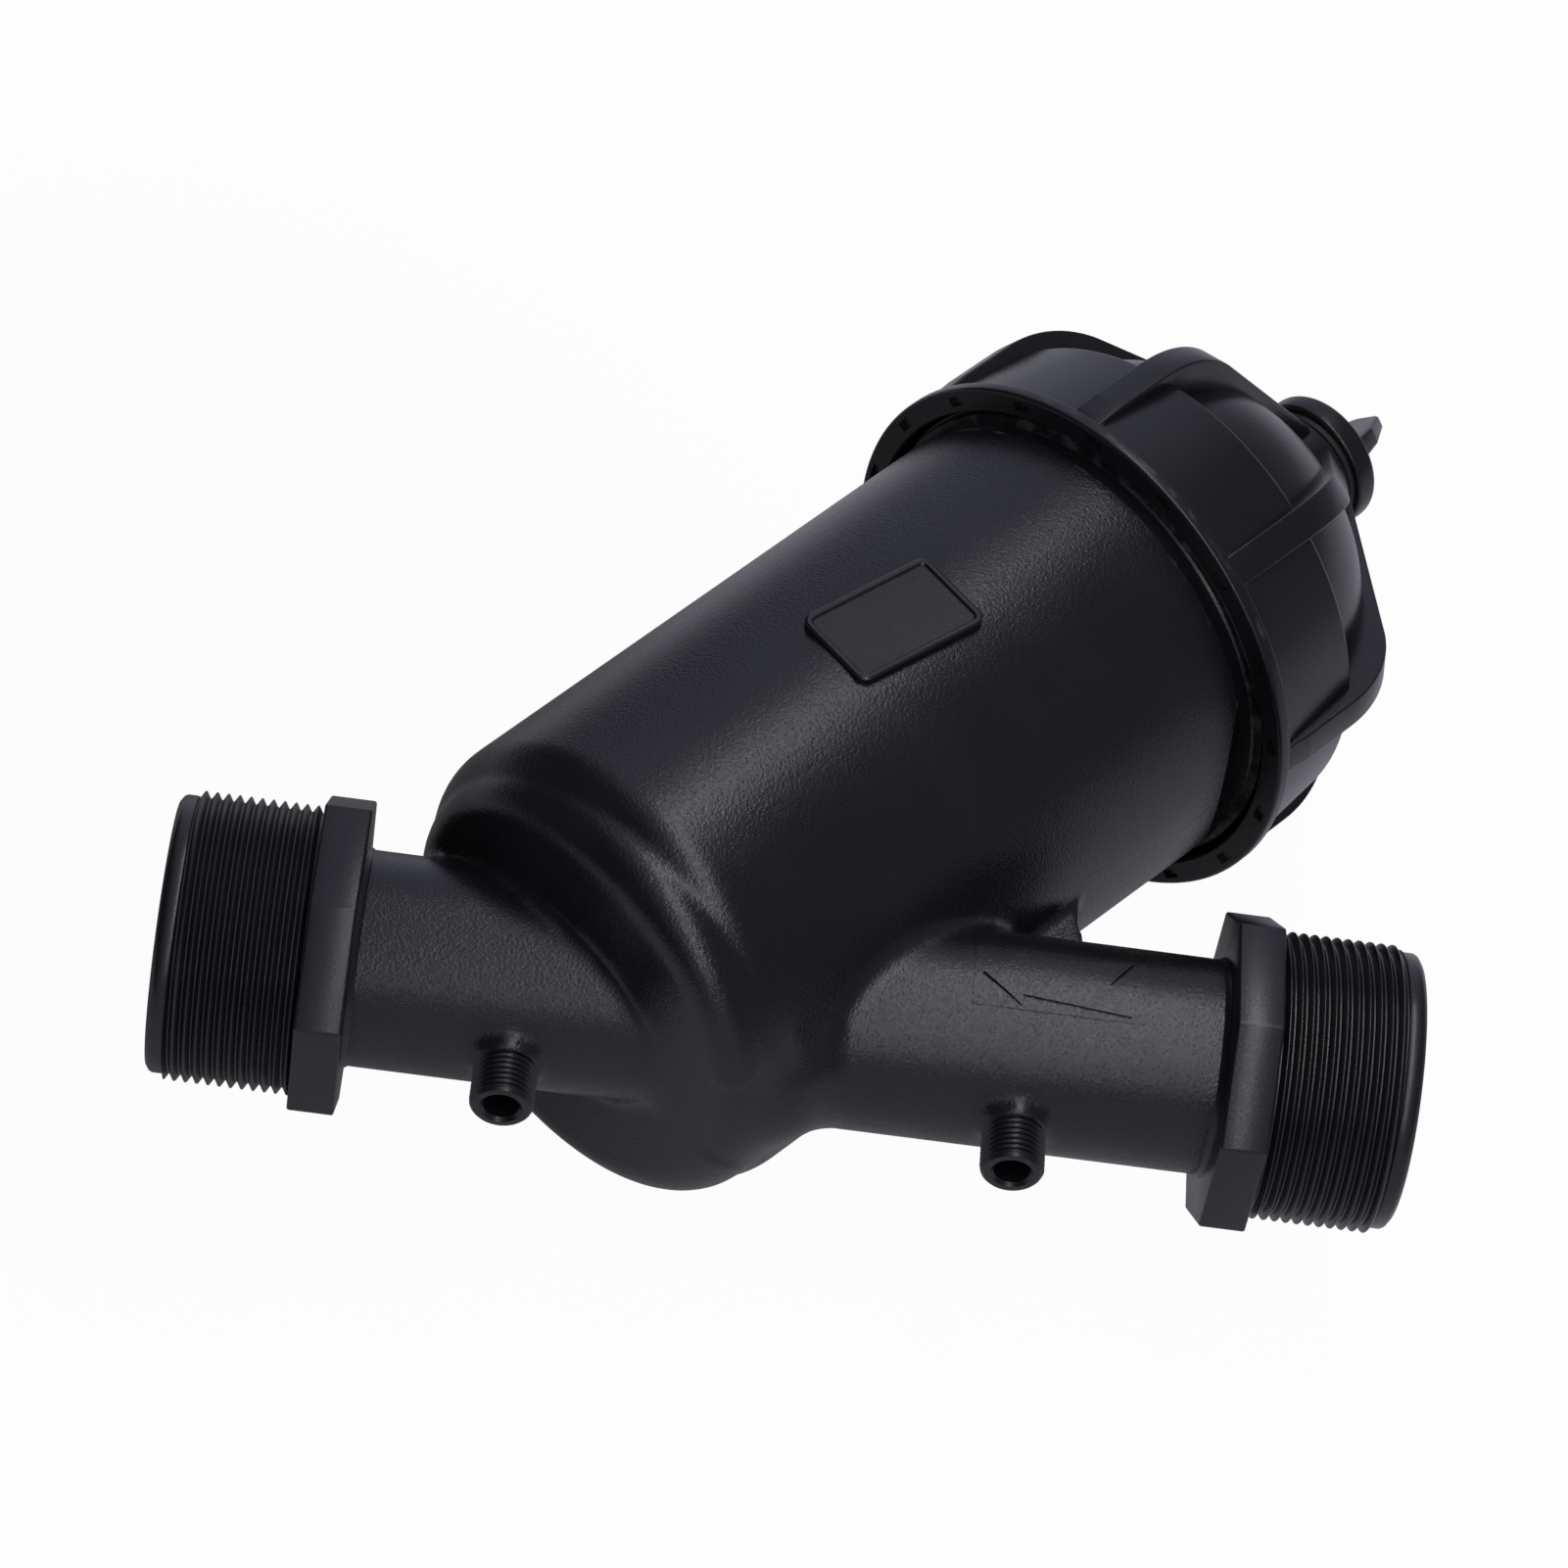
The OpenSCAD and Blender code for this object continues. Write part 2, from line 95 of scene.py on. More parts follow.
# %% Selecting and placing
WELD = 2e-6


def deselect():
    if bpy.context.object and bpy.context.object.mode != "OBJECT":
        bpy.ops.object.mode_set(mode="OBJECT")
    bpy.ops.object.select_all(action="DESELECT")


def pick(piece):
    deselect()
    piece.select_set(True)
    bpy.context.view_layer.objects.active = piece
    return piece


def edit(piece):
    pick(piece)
    bpy.ops.object.mode_set(mode="EDIT")
    bpy.ops.mesh.select_mode(type="VERT")
    bpy.ops.mesh.select_all(action="SELECT")


def place(piece, matrix):
    pick(piece)
    piece.matrix_world = matrix
    bpy.ops.object.transform_apply(location=True, rotation=True, scale=True)
    return piece


def tidy_shell(piece):
    edit(piece)
    bpy.ops.mesh.remove_doubles(threshold=WELD)
    bpy.ops.mesh.normals_make_consistent(inside=False)
    bpy.ops.object.mode_set(mode="OBJECT")
    return piece


print("bench ready")

# %% [markdown]
# ## Lines, lathes and plates
# A line is drawn as by hand: a plane is merged into one vertex, and that vertex is extruded from point to
# point. Spinning the line gives a turned piece, and filling a closed line gives a flat plate.

# %% Drawing, turning and filling
def drawn_line(name, points):
    deselect()
    bpy.ops.mesh.primitive_plane_add(size=MM)
    piece = bpy.context.object
    piece.name = name
    edit(piece)
    bpy.ops.mesh.merge(type="CENTER")
    bpy.ops.transform.translate(value=(points[0][0] * MM, 0, points[0][1] * MM))
    for a, b in zip(points, points[1:]):
        step = ((b[0] - a[0]) * MM, 0, (b[1] - a[1]) * MM)
        bpy.ops.mesh.extrude_vertices_move(TRANSFORM_OT_translate={"value": step})
    return piece


def lathe(name, points, steps):
    piece = drawn_line(name, points)
    bpy.ops.mesh.select_all(action="SELECT")
    bpy.ops.mesh.spin(steps=steps, angle=math.tau, center=(0, 0, 0), axis=(0, 0, 1))
    return tidy_shell(piece)


def plate(name, points, thickness):
    """A flat outline of (x, z) points, filled and drawn out along Y by a thickness in millimetres."""
    piece = drawn_line(name, points)
    bpy.ops.mesh.select_all(action="SELECT")
    bpy.ops.mesh.edge_face_add()
    bpy.ops.mesh.extrude_region_move(TRANSFORM_OT_translate={"value": (0, thickness * MM, 0)})
    bpy.ops.mesh.select_all(action="SELECT")
    bpy.ops.transform.translate(value=(0, -thickness / 2 * MM, 0))
    return tidy_shell(piece)


def arc(middle, r, start, end, count):
    """Points on a circle between two angles in degrees, in a number of steps."""
    turns = np.radians(np.linspace(start, end, count + 1))
    return [(middle[0] + r * math.cos(a), middle[1] + r * math.sin(a)) for a in turns]


def rod(name, r, low, high, sides=128):
    """A plain bar about Z between two heights, in millimetres."""
    deselect()
    middle = (0, 0, (low + high) / 2 * MM)
    bpy.ops.mesh.primitive_cylinder_add(
        vertices=sides, radius=r * MM, depth=(high - low) * MM, location=middle
    )
    piece = bpy.context.object
    piece.name = name
    bpy.ops.object.transform_apply(location=True, rotation=True, scale=True)
    return piece


print("an arc of three points:", arc((0, 0), 1, 0, 90, 2))

# %% [markdown]
# ## Joining, cutting and blending
# Booleans join and cut closed shells. Where moulded walls run into each other, the shells are fused by a
# voxel remesh, and the corner between them is smoothed: that leaves the soft fillet of a moulding, which
# a bevel couldn't follow along such a curve.

# %% Booleans, fusing and softening
def carve(piece, tool, operation="DIFFERENCE"):
    pick(piece)
    bpy.ops.object.modifier_add(type="BOOLEAN")
    boolean = piece.modifiers[-1]
    boolean.operation = operation
    boolean.solver = "EXACT"
    boolean.object = tool
    bpy.ops.object.modifier_apply(modifier=boolean.name)
    bpy.data.objects.remove(tool, do_unlink=True)
    return piece


def joined(name, pieces):
    deselect()
    for piece in pieces:
        piece.select_set(True)
    bpy.context.view_layer.objects.active = pieces[0]
    bpy.ops.object.join()
    pieces[0].name = name
    return pieces[0]


def fused(name, pieces, voxel):
    piece = pick(joined(name, pieces))
    bpy.ops.object.modifier_add(type="REMESH")
    remesh = piece.modifiers[-1]
    remesh.mode = "VOXEL"
    remesh.voxel_size = voxel * MM
    bpy.ops.object.modifier_apply(modifier=remesh.name)
    return piece


def spots(piece, frame_matrix=None):
    """The piece's vertices in millimetres, in the row or in another frame."""
    co = np.empty(len(piece.data.vertices) * 3)
    piece.data.vertices.foreach_get("co", co)
    co = co.reshape(-1, 3)
    if frame_matrix is not None:
        inverse = np.array(frame_matrix.inverted())
        co = co @ inverse[:3, :3].T + inverse[:3, 3]
    return co / MM


def soften(piece, chosen, repeat):
    """Smooths the chosen vertices, which rounds the edges and corners among them."""
    pick(piece)
    mesh = piece.data
    mesh.polygons.foreach_set("select", np.zeros(len(mesh.polygons), bool))
    mesh.edges.foreach_set("select", np.zeros(len(mesh.edges), bool))
    mesh.vertices.foreach_set("select", chosen)
    bpy.ops.object.mode_set(mode="EDIT")
    bpy.ops.mesh.select_mode(type="VERT")
    bpy.ops.mesh.vertices_smooth(factor=0.5, repeat=repeat)
    bpy.ops.object.mode_set(mode="OBJECT")


def sliced(piece, point, normal):
    """Cuts off what lies beyond a plane and closes the cut."""
    edit(piece)
    bpy.ops.mesh.bisect(plane_co=point, plane_no=normal, use_fill=True, clear_outer=True, threshold=1e-7)
    bpy.ops.object.mode_set(mode="OBJECT")
    return piece


def smooth_faces(piece, angle=35):
    pick(piece)
    bpy.ops.object.shade_smooth_by_angle(angle=math.radians(angle))
    return piece


print("cutting tools ready")

# %% [markdown]
# ## A screw thread
# A thread is a saw-tooth line that climbs one pitch per turn, so the Screw modifier draws it in a single
# turn: each tooth arrives where the next one starts. Two planes then cut its ends square.

# %% The thread helper
def threaded_rod(name, crest_r, depth, pitch, low, high, sides):
    """A bar about Z with a thread, between two heights in millimetres."""
    root_r = crest_r - depth
    edge_r = crest_r - 0.06 * depth
    # One tooth, as radius and share of the pitch: root, flank, slightly rounded crest
    tooth = [(root_r, 0), (root_r, 0.12), (edge_r, 0.48), (crest_r, 0.53), (crest_r, 0.59), (edge_r, 0.64)]
    count = math.ceil((high - low) / pitch) + 3
    points = [(r, low + (i - 2 + share) * pitch) for i in range(count) for r, share in tooth]
    piece = drawn_line(name, points)
    bpy.ops.object.mode_set(mode="OBJECT")
    bpy.ops.object.modifier_add(type="SCREW")
    screw = piece.modifiers[-1]
    screw.axis = "Z"
    screw.angle = math.tau
    screw.screw_offset = pitch * MM
    screw.steps = screw.render_steps = sides
    bpy.ops.object.modifier_apply(modifier=screw.name)
    tidy_shell(piece)
    sliced(piece, (0, 0, low * MM), (0, 0, -1))
    sliced(piece, (0, 0, high * MM), (0, 0, 1))
    return tidy_shell(piece)


print("thread helper ready")

# %% [markdown]
# ## The housing's body
# The body is one moulding: two pipe stubs, the slanted chamber, a thin web in the fork and the feet of
# the gauge nipples. The chamber's wall ends in a rounded shoulder, and a slightly narrower bowl with a
# flat bottom sits a little off its axis below it. A ball swells the wall where the inlet runs in. Each
# form is turned or drawn, and then all are fused.

# %% Forms of the body
PIPE_R = 22.3
FLANGE_T = 9.6
STUB_END = FLANGE_X - FLANGE_T
CHAMBER_TOP = 147
WALL_FROM, WALL_LOW, WALL_HIGH = 13, 51.6, 53.3
SHOULDER_R, SHOULDER_T = 10.5, 11.5
BOWL_R, BOWL_TURN, BOWL_SHIFT, END_T = 48.7, 8.5, -1.6, -5
CHIN_R, CHIN_OUT, CHIN_T = 20, 35.3, 14.8
TURN_STEPS = 192
# How far a form runs past the plane that cuts it
SPARE = 4
wall_slope = (WALL_HIGH - WALL_LOW) / (CHAMBER_TOP - WALL_FROM)


def rounded_foot(r, turn_r, low, inset=0):
    """The lower end of a turned line: a flat bottom and a round turn into the wall."""
    return [(0, low + inset)] + arc((r - turn_r, low + turn_r), turn_r - inset, -90, 0, 16)


chamber_line = rounded_foot(WALL_LOW, SHOULDER_R, SHOULDER_T - SHOULDER_R)
chamber_line += [(WALL_HIGH + SPARE * wall_slope, CHAMBER_TOP + SPARE), (0, CHAMBER_TOP + SPARE)]
chamber = place(lathe("housing_body", chamber_line, TURN_STEPS), CHAMBER)
bowl_line = rounded_foot(BOWL_R, BOWL_TURN, END_T) + [(BOWL_R, WALL_FROM), (0, WALL_FROM)]
bowl = lathe("bowl", bowl_line, TURN_STEPS)
place(bowl, CHAMBER @ Matrix.Translation((0, BOWL_SHIFT * MM, 0)))
deselect()
bpy.ops.mesh.primitive_uv_sphere_add(segments=96, ring_count=48, radius=CHIN_R * MM)
chin = place(bpy.context.object, CHAMBER @ Matrix.Translation((0, -CHIN_OUT * MM, CHIN_T * MM)))
outlet_stub = place(rod("outlet_stub", PIPE_R, -STUB_END - SPARE, BRANCH_X + PIPE_R), PIPE)
inlet_stub = place(rod("inlet_stub", PIPE_R, BRANCH_X + 2 * PIPE_R, STUB_END + SPARE), PIPE)
print("chamber faces:", len(chamber.data.polygons))

# %% Web and nipple feet
NIPPLES = {"outlet": -55.3, "inlet": 48.4}
NIPPLE_R = 6.58
WEB_W = 4


def nipple_spot(x):
    """The place of a nipple that points down out of the pipe, at a distance along the run."""
    return Matrix.Translation(((x - FLANGE_X) * MM, 0, 0)) @ Matrix.Rotation(QUARTER, 4, "X")


web_line = [(0, 0), (61.9, 21), (61.4, 25.5), (60.6, 29), (59.6, 33), (59.4, 37), (60.2, 41.5), (52, 46)]
web = plate("fork_web", web_line, WEB_W)
place(web, Matrix.Translation((-FLANGE_X * MM, 0, 0)) @ Matrix.Rotation(-QUARTER, 4, "X"))
foot_line = [(0, 10), (7.3, 10), (7.3, 22.9), (6.6, 24.1), (0, 24.1)]
feet = [place(lathe(name + "_foot", foot_line, 64), nipple_spot(x)) for name, x in NIPPLES.items()]
print("web corners:", len(web.data.vertices), "feet:", len(feet))

# %% [markdown]
# ## Fusing the body
# The voxels are a millimetre, fine enough for the web and small enough in number to keep the mesh light.
# The corners where a pipe meets the chamber are found by place: they lie near both surfaces.

# %% Fuse and soften the body
BODY_VOXEL = 1.0
body = fused("housing_body", [chamber, bowl, chin, outlet_stub, inlet_stub, web, *feet], BODY_VOXEL)


def off_chamber(local):
    """Distance of points from the chamber's outside and from the chin, in the chamber's frame."""
    x, y, t = local.T
    r = np.hypot(x, y)
    shoulder = np.hypot(r - WALL_LOW + SHOULDER_R, t - SHOULDER_T) - SHOULDER_R
    wall = np.where(t > SHOULDER_T, r - WALL_LOW - (t - WALL_FROM) * wall_slope, shoulder)
    r = np.hypot(x, y - BOWL_SHIFT)
    turn = np.hypot(r - BOWL_R + BOWL_TURN, t - END_T - BOWL_TURN) - BOWL_TURN
    bowl_side = np.where(t > END_T + BOWL_TURN, r - BOWL_R, turn)
    bowl_off = np.where(r < BOWL_R - BOWL_TURN, END_T - t, bowl_side)
    chin_off = np.sqrt(x ** 2 + (y + CHIN_OUT) ** 2 + (t - CHIN_T) ** 2) - CHIN_R
    return np.minimum(np.minimum(wall, bowl_off), chin_off), np.abs(chin_off)


soften(body, np.ones(len(body.data.vertices), bool), 3)
row, local = spots(body), spots(body, CHAMBER)
from_pipe = np.abs(np.hypot(row[:, 1], row[:, 2]) - PIPE_R)
off, from_chin = off_chamber(local)
from_chamber = np.abs(off)
on_inlet = row[:, 0] > (BRANCH_X + PIPE_R - FLANGE_X)
for side, reach, repeat in ((~on_inlet, 2.8, 10), (on_inlet, 4.0, 16)):
    soften(body, side & (from_pipe < reach) & (from_chamber < reach), repeat)
# The rim of the swelling is smoothed much longer, so that it runs out without an edge
soften(body, (from_chin < 4) & (from_chamber < 3), 40)
for end in (-1, 1):
    sliced(body, ((end * STUB_END - FLANGE_X) * MM, 0, 0), (end, 0, 0))
NECK_LOW = CHAMBER_TOP - 0.5
sliced(body, on_axis(NECK_LOW), AXIS)
print("body faces:", len(body.data.polygons))

# %% [markdown]
# ## The water ways
# The real filter is hollow: water comes in by the inlet, fills the chamber above a partition, and leaves
# under it. The spaces are turned and cut out of the fused body, so that one can look into both pipes.

# %% Hollow the body
BORE_R = 18.5
PARTITION_T, PARTITION_TOP = 8.5, 12.5
SEAT_R = 21
SPACE_LOW_R, SPACE_HIGH_R, SPACE_TOP = 47.6, 48.8, 160
BOWL_WALL = 5.5
INLET_FROM = BRANCH_X + 46.7
SPACE_STEPS = 128
upper_line = [(0, PARTITION_TOP), (SPACE_LOW_R, PARTITION_TOP), (SPACE_HIGH_R, SPACE_TOP), (0, SPACE_TOP)]
carve(body, place(lathe("upper_space", upper_line, SPACE_STEPS), CHAMBER))
lower_line = rounded_foot(BOWL_R, BOWL_TURN, END_T, BOWL_WALL)
lower_line += [(BOWL_R - BOWL_WALL, WALL_FROM), (0, WALL_FROM)]
lower_space = lathe("lower_space", lower_line, SPACE_STEPS)
sliced(lower_space, (0, 0, PARTITION_T * MM), (0, 0, 1))
carve(body, place(lower_space, CHAMBER))
carve(body, place(rod("seat_hole", SEAT_R, PARTITION_T - 1, PARTITION_TOP + 1), CHAMBER))
carve(body, place(rod("inlet_way", BORE_R, INLET_FROM, STUB_END + SPARE), PIPE))
outlet_way = place(rod("outlet_way", BORE_R, -STUB_END - SPARE, BRANCH_X + PIPE_R), PIPE)
sliced(outlet_way, on_axis(PARTITION_T), AXIS)
carve(body, outlet_way)
NIPPLE_BORE_R, NIPPLE_BORE_SIDES = 3.7, 48
for name, x in NIPPLES.items():
    carve(body, place(rod(name + "_way", NIPPLE_BORE_R, 12, 40, NIPPLE_BORE_SIDES), nipple_spot(x)))
smooth_faces(body)
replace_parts(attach(body, "filter_body"), "housing")
print("hollow body faces:", len(body.data.polygons))

# %% [markdown]
# ## The threaded pipe ends
# Each end has an octagon to hold with a wrench, the 2 inch pipe thread and a plain lead ring that starts
# the coupling straight. The octagon's edges get a small bevel, and the thread is cut at the standard
# pitch.

# %% Octagon, thread and lead ring
THREAD_R, THREAD_DEPTH, THREAD_PITCH = 29.8, 1.45, 2.309
THREAD_END = FLANGE_X + 25.9
THREAD_SIDES = 144
FLAT_R, FLANGE_BEVEL = 31.35, 0.55
LEAD_R, MOUTH = 28.6, 128
# How far a cutting tool reaches past the piece
PAST = 5


def pipe_end(name, side):
    deselect()
    half_side = math.pi / 8
    corner_r = FLAT_R / math.cos(half_side)
    middle = (0, 0, (FLANGE_X - FLANGE_T / 2) * MM)
    bpy.ops.mesh.primitive_cylinder_add(
        vertices=8, radius=corner_r * MM, depth=FLANGE_T * MM, location=middle, rotation=(0, 0, half_side)
    )
    flange = bpy.context.object
    bpy.ops.object.transform_apply(location=True, rotation=True, scale=True)
    edit(flange)
    bpy.ops.mesh.bevel(offset=FLANGE_BEVEL * MM, segments=3, affect="EDGES")
    bpy.ops.object.mode_set(mode="OBJECT")
    thread = threaded_rod(name, THREAD_R, THREAD_DEPTH, THREAD_PITCH, FLANGE_X - 1, THREAD_END, THREAD_SIDES)
    lead_line = [(0, THREAD_END - 2), (LEAD_R - 0.5, THREAD_END - 2), (LEAD_R - 0.5, THREAD_END)]
    lead_line += [(LEAD_R - 0.1, THREAD_END + 0.2), (LEAD_R, THREAD_END + 0.6)]
    lead_line += [(LEAD_R, MOUTH - 1.3), (LEAD_R - 0.3, MOUTH - 0.7), (LEAD_R - 1.3, MOUTH), (0, MOUTH)]
    collar_line = [(0, STUB_END - 1.2), (PIPE_R + 0.02, STUB_END - 1.2), (PIPE_R + 0.3, STUB_END - 0.9)]
    collar_line += [(PIPE_R + 0.9, STUB_END + 1), (0, STUB_END + 1)]
    for part in (flange, lathe("lead", lead_line, THREAD_SIDES), lathe("collar", collar_line, THREAD_SIDES)):
        carve(thread, part, "UNION")
    carve(thread, rod("stub_way", PIPE_R, STUB_END - PAST, STUB_END))
    carve(thread, rod("bore", BORE_R, STUB_END - PAST, MOUTH + PAST))
    chamfer_line = [(0, MOUTH - 1), (BORE_R - 0.2, MOUTH - 1), (BORE_R + 1.8, MOUTH + 1), (0, MOUTH + 1)]
    carve(thread, lathe("mouth_chamfer", chamfer_line, THREAD_SIDES))
    flip = Matrix.Rotation(math.pi if side < 0 else 0, 4, "Z")
    place(thread, Matrix.Translation((-FLANGE_X * MM, 0, 0)) @ flip @ Matrix.Rotation(QUARTER, 4, "Y"))
    tidy_shell(thread)
    smooth_faces(thread, 30)
    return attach(thread, "filter_body")


inlet_end = pipe_end("inlet_end", 1)
outlet_end = pipe_end("outlet_end", -1)
print("faces of one end:", len(inlet_end.data.polygons))

# %% [markdown]
# ## The gauge nipples
# Two small nipples with a quarter inch thread let a pressure gauge be screwed on each side of the discs.
# They are the same rod and thread at a smaller size, with a plain chamfered nose.

# %% Nipples
NIPPLE_DEPTH, NIPPLE_PITCH, NIPPLE_SIDES = 0.85, 1.337, 72
NIPPLE_LOW, NIPPLE_HIGH, NIPPLE_MOUTH = 24.0, 33.3, 34.1
nose_line = [(0, 32.5), (5.8, 32.5), (6.2, 33), (6.3, 33.4)]
nose_line += [(5.7, NIPPLE_MOUTH - 0.05), (5.4, NIPPLE_MOUTH), (0, NIPPLE_MOUTH)]
nose_chamfer = [(0, 33.2), (3.5, 33.2), (4.9, 34.6), (0, 34.6)]


def gauge_nipple(name, x):
    thread = threaded_rod(
        name + "_nipple", NIPPLE_R, NIPPLE_DEPTH, NIPPLE_PITCH, NIPPLE_LOW, NIPPLE_HIGH, NIPPLE_SIDES
    )
    carve(thread, lathe("nose", nose_line, NIPPLE_SIDES), "UNION")
    carve(thread, rod("bore", NIPPLE_BORE_R, 20, 40, NIPPLE_BORE_SIDES))
    carve(thread, lathe("chamfer", nose_chamfer, NIPPLE_SIDES))
    place(thread, nipple_spot(x))
    tidy_shell(thread)
    smooth_faces(thread, 30)
    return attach(thread, "filter_body")


nipples = [gauge_nipple(name, x) for name, x in NIPPLES.items()]
print("nipple faces:", [len(n.data.polygons) for n in nipples])

# %% [markdown]
# ## The neck
# Above the chamber a short neck carries the coarse thread for the cap. It shows in the gap under the
# cap's rim, and more of it when the cap is unscrewed.

# %% Neck and its coarse thread
NECK_TOP = 166
RELIEF_TOP, COLLAR_TOP = CHAMBER_TOP + 4, CHAMBER_TOP + 6
NECK_R, NECK_DEPTH, NECK_PITCH, NECK_THREAD_TOP = 55.2, 1.6, 6, 164.5
neck = threaded_rod("neck", NECK_R, NECK_DEPTH, NECK_PITCH, COLLAR_TOP, NECK_THREAD_TOP, THREAD_SIDES)
core_line = [(0, NECK_LOW), (53.25, NECK_LOW), (52.75, CHAMBER_TOP), (52.2, CHAMBER_TOP + 0.1)]
core_line += [(52.2, RELIEF_TOP - 0.5), (52.6, RELIEF_TOP), (54.2, RELIEF_TOP), (54.5, RELIEF_TOP + 0.3)]
core_line += [(54.5, COLLAR_TOP - 0.4), (54.2, COLLAR_TOP), (53.6, COLLAR_TOP)]
core_line += [(53.6, NECK_TOP - 0.8), (52.8, NECK_TOP), (0, NECK_TOP)]
carve(neck, lathe("core", core_line, THREAD_SIDES), "UNION")
carve(neck, rod("neck_way", SPACE_HIGH_R, 130, 170))
place(neck, CHAMBER)
tidy_shell(neck)
smooth_faces(neck, 30)
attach(neck, "filter_body")
print("neck faces:", len(neck.data.polygons))

# %% [markdown]
# ## The screw cap
# The cap is the most skilled moulding here. Its skirt is turned: a rim with notches, a tapered wall and a
# thin lip with a trough behind it. The panels of the dome swell like pillows, and between them eight grip
# ribs bridge the trough and run up to the hub.

# %% Cap skirt
CAP = CHAMBER @ Matrix.Rotation(math.radians(36), 4, "Z")
RIM_T, LIP_T, TROUGH_T = 149.4, 178, 172.6
LIP_R, LIP_ROUND = 57.6, 1.4
SEAL_ROOM_T = 166.8
skirt_line = [(56.4, RIM_T), (60.6, RIM_T)] + arc((60.75, RIM_T + 0.8), 0.8, -90, 0, 5)
skirt_line += arc((60.85, RIM_T + 2.7), 0.7, 0, 80, 5) + [(60.2, 152.9), (59.8, 153.3), (59.7, 154)]
skirt_line += arc((LIP_R - LIP_ROUND, LIP_T - LIP_ROUND), LIP_ROUND, 5, 175, 14)
skirt_line += [(54.7, TROUGH_T + 1), (54.2, TROUGH_T), (50, TROUGH_T)]
skirt_line += [(50, TROUGH_T - 2), (53.9, TROUGH_T - 2), (53.9, SEAL_ROOM_T)]
skirt_line += [(56, SEAL_ROOM_T), (56, RIM_T + 0.4), (56.4, RIM_T)]
skirt = lathe("cap_skirt", skirt_line, TURN_STEPS)
NOTCHES, NOTCH_R, NOTCH_SIZE = 18, 58.8, (2.2 * MM, 4.2 * MM, 1.8 * MM)
notch_blocks = []
for i in range(NOTCHES):
    deselect()
    turn = math.tau * i / NOTCHES
    middle = (NOTCH_R * math.cos(turn) * MM, NOTCH_R * math.sin(turn) * MM, (RIM_T + 0.2) * MM)
    bpy.ops.mesh.primitive_cube_add(size=1, location=middle, rotation=(0, 0, turn), scale=NOTCH_SIZE)
    bpy.ops.object.transform_apply(location=True, rotation=True, scale=True)
    notch_blocks.append(bpy.context.object)
carve(skirt, joined("notches", notch_blocks))
place(skirt, CAP)
smooth_faces(skirt, 30)
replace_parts(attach(skirt, "cap"), "screw_cap")
print("skirt faces:", len(skirt.data.polygons))

# %% [markdown]
# ## Dome and ribs
# Each panel of the dome swells like a pillow: a ball cap is slotted where the ribs go, the slots flare
# towards the lip, and a remesh with some smoothing rounds every edge. The ribs themselves are crisp, so
# they are flat plates whose long edges get a small bevel. A flared foot joins each rib to the rim.

# %% Pillows of the dome
DOME_T, DOME_R, DOME_LOW, DOME_VOXEL = 168.4, 54.8, 171.5, 0.75
HUB_R, HUB_TOP = 15, 230.6
SLOT_REACH = 40
RIB_COUNT = 8
CAP_SPOTS = [Matrix.Rotation(math.tau * i / RIB_COUNT, 4, "Z") for i in range(RIB_COUNT)]


def ball_cap(r, top_r):
    """The dome's line at a radius, up to a radius about the axis."""
    low = math.degrees(math.asin((DOME_LOW - DOME_T) / r))
    return arc((0, DOME_T), r, low, math.degrees(math.acos(top_r / r)), 40)


def facing_out(spot, reach):
    """The place of a plate that faces away from the axis, at a distance from it."""
    return spot @ Matrix.Rotation(-QUARTER, 4, "Z") @ Matrix.Translation((0, reach * MM, 0))


pillow_line = [(0, DOME_LOW)] + ball_cap(DOME_R, 18.5) + [(0, DOME_T + 51.6)]
pillows = lathe("cap_dome", pillow_line, TURN_STEPS)
slot_line = [(-12, 170), (-9, 173.5)] + arc((-9.2, 179), 5, -80, 0, 8) + [(-4.2, 240)]
slot_line += [(-x, t) for x, t in reversed(slot_line)]
slots = []
for spot in CAP_SPOTS:
    slot = plate("slot", slot_line + slot_line[:1], SLOT_REACH)
    slots.append(place(slot, facing_out(spot, SLOT_REACH)))
carve(pillows, joined("slots", slots))
core_line = [(0, DOME_LOW)] + ball_cap(DOME_R - 1.9, HUB_R)
core_line += [(HUB_R, HUB_TOP - 0.7), (HUB_R - 0.7, HUB_TOP), (0, HUB_TOP)]
dome = fused("cap_dome", [pillows, lathe("core", core_line, TURN_STEPS)], DOME_VOXEL)
soften(dome, np.ones(len(dome.data.vertices), bool), 7)
hollow_line = [(0, 160), (51, 160), (51, 171)] + ball_cap(DOME_R - 3.6, 12.5)
hollow_line += [(12, 219), (12, 235), (0, 235)]
carve(dome, lathe("hollow", hollow_line, SPACE_STEPS))
place(dome, CAP)
smooth_faces(dome, 40)
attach(dome, "cap")
print("dome faces:", len(dome.data.polygons))

# %% Ribs
RIB_R, RIB_INNER_R, RIB_W = 61, 57.2, 7.2
RIB_TURN_R, RIB_DROP, RIB_SLOPE = 30.5, 3.4, 47
FOOT_OUT, FOOT_W, FOOT_ROUND = 58.1, 4, 2.6


def bevel_rims(piece, offset):
    """Bevels the outlines of a plate's two flat sides, found by their place along Y."""
    edit(piece)
    bpy.ops.mesh.select_all(action="DESELECT")
    bpy.ops.object.mode_set(mode="OBJECT")
    mesh = piece.data
    y = [v.co.y for v in mesh.vertices]
    side = max(y) - 1e-6
    for edge in mesh.edges:
        a, b = (y[i] for i in edge.vertices)
        edge.select = abs(a) > side and a * b > 0
    bpy.ops.object.mode_set(mode="EDIT")
    bpy.ops.mesh.select_mode(type="EDGE")
    bpy.ops.mesh.bevel(offset=offset * MM, segments=3, affect="EDGES")
    bpy.ops.object.mode_set(mode="OBJECT")


